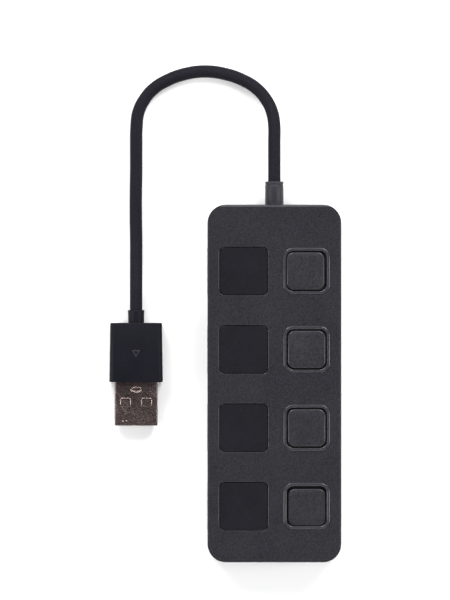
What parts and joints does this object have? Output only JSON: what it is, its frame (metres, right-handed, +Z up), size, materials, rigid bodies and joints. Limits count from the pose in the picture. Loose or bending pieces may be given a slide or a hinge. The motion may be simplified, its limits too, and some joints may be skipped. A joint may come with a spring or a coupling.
{
  "type": "usb hub",
  "caption": "Slim flat hub with a row of side sockets, a dark square status window and a square latching push switch for each, and a short captive lead with a plug.",
  "frame": {"origin": "centre of the housing's underside", "axes": "+Z up out of the face with the windows and buttons, +Y along the housing towards the end the lead leaves, -X out of the sockets' side"},
  "size_m": [0.0649, 0.1391, 0.0149],
  "materials": {
    "housing": "fine-grained moulded ABS, near black with a cool tint",
    "screw_steel": "zinc-plated",
    "board": "glass-fibre board with green solder mask",
    "socket_steel": "nickel-plated pressed steel",
    "socket_insulator": "white moulded insulator",
    "contact_plating": "gold flash over copper alloy",
    "window": "polished smoked plastic",
    "lamp": "clear lens",
    "button": "fine-grained moulded plastic",
    "switch_stem": "natural acetal",
    "switch_case": "moulded nylon",
    "spring_steel": "drawn spring wire",
    "tin": "tinned",
    "chip_case": "black epoxy",
    "can": "drawn metal can",
    "ceramic": "fired ceramic",
    "resistor_black": "black glaze",
    "gland": "soft moulded PVC with a slight sheen",
    "jacket": "extruded PVC jacket, satin",
    "wire_red": "PVC insulation",
    "wire_white": "PVC insulation",
    "wire_green": "PVC insulation",
    "wire_black": "PVC insulation",
    "grip": "moulded PVC grip, satin",
    "plug_steel": "dark nickel-plated steel with a brown cast",
    "plug_insulator": "white moulded insulator"
  },
  "bodies": {
    "root": {"top_cover": "housing", "bottom_cover": "housing", "cover_screws": "screw_steel", "circuit_board": "board", "port_shell_1": "socket_steel", "port_shell_2": "socket_steel", "port_shell_3": "socket_steel", "port_shell_4": "socket_steel", "port_tongue_1": "socket_insulator", "port_tongue_2": "socket_insulator", "port_tongue_3": "socket_insulator", "port_tongue_4": "socket_insulator", "port_contacts_1": "contact_plating", "port_contacts_2": "contact_plating", "port_contacts_3": "contact_plating", "port_contacts_4": "contact_plating", "status_window_1": "window", "status_window_2": "window", "status_window_3": "window", "status_window_4": "window", "status_led_1": "lamp", "status_led_2": "lamp", "status_led_3": "lamp", "status_led_4": "lamp", "switch_body_1": "switch_case", "switch_body_2": "switch_case", "switch_body_3": "switch_case", "switch_body_4": "switch_case", "switch_spring_1": "spring_steel", "switch_spring_2": "spring_steel", "switch_spring_3": "spring_steel", "switch_spring_4": "spring_steel", "switch_legs": "tin", "hub_chip": "chip_case", "chip_legs": "tin", "crystal": "can", "bulk_capacitor": "can", "capacitors": "ceramic", "resistors": "resistor_black", "cable_gland": "gland", "cable_tail": "jacket", "cable": "jacket", "lead_power": "wire_red", "lead_data_minus": "wire_white", "lead_data_plus": "wire_green", "lead_ground": "wire_black", "plug_overmold": "grip", "plug_shell": "plug_steel", "plug_insulator": "plug_insulator", "plug_contacts": "contact_plating"},
    "button_1": {"button_cap_1": "button", "switch_plunger_1": "switch_stem"},
    "button_2": {"button_cap_2": "button", "switch_plunger_2": "switch_stem"},
    "button_3": {"button_cap_3": "button", "switch_plunger_3": "switch_stem"},
    "button_4": {"button_cap_4": "button", "switch_plunger_4": "switch_stem"}
  },
  "joints": [
    {"name": "press_1", "type": "slide", "parent": "root", "child": "button_1", "axis": [0, 0, -1], "range_m": [0, 0.0018], "stiffness_N_per_m": 400, "deforming": ["switch_spring_1"]},
    {"name": "press_2", "type": "slide", "parent": "root", "child": "button_2", "axis": [0, 0, -1], "range_m": [0, 0.0018], "stiffness_N_per_m": 400, "deforming": ["switch_spring_2"]},
    {"name": "press_3", "type": "slide", "parent": "root", "child": "button_3", "axis": [0, 0, -1], "range_m": [0, 0.0018], "stiffness_N_per_m": 400, "deforming": ["switch_spring_3"]},
    {"name": "press_4", "type": "slide", "parent": "root", "child": "button_4", "axis": [0, 0, -1], "range_m": [-0.0013, 0.0005], "stiffness_N_per_m": 400, "deforming": ["switch_spring_4"]}
  ]
}
